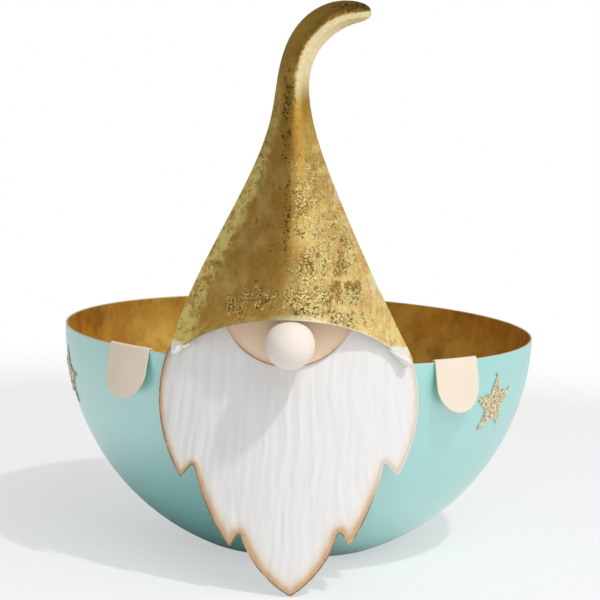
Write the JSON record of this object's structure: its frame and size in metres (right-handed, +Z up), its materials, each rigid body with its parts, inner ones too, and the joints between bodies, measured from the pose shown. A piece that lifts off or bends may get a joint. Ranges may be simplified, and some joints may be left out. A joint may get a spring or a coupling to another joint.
{
  "type": "gnome bowl",
  "caption": "Round metal bowl with a sheet metal gnome on its rim: curled hat, ball nose, toothed beard plate reaching to the table, folded hands and glitter stars.",
  "frame": {"origin": "middle of the bowl's flat foot, on the table", "axes": "+Z up along the bowl's axis, the gnome faces -Y, and the hat's tip curls to +X"},
  "size_m": [0.2, 0.2209, 0.2315],
  "materials": {
    "aqua_paint": "matte aqua paint outside, gold leaf inside",
    "white_paint": "matte white paint with brown rubbed edges",
    "skin_paint": "matte skin coloured paint",
    "nose_paint": "matte skin coloured paint on wood",
    "bright_steel": "zinc plated",
    "gold_leaf": "crinkled gold leaf with dark specks",
    "glitter": "champagne gold glitter"
  },
  "bodies": {
    "root": {"bowl": "aqua_paint", "beard": "white_paint", "face": "skin_paint", "nose": "nose_paint", "nose_screw": "bright_steel", "hat": "gold_leaf", "hand_left": "skin_paint", "hand_right": "skin_paint", "hat_welds": "white_paint", "rim_welds": "aqua_paint", "hand_welds": "gold_leaf", "star_front_right": "glitter", "star_back_right": "glitter", "star_back_left": "glitter", "star_front_left": "glitter"}
  },
  "joints": []
}
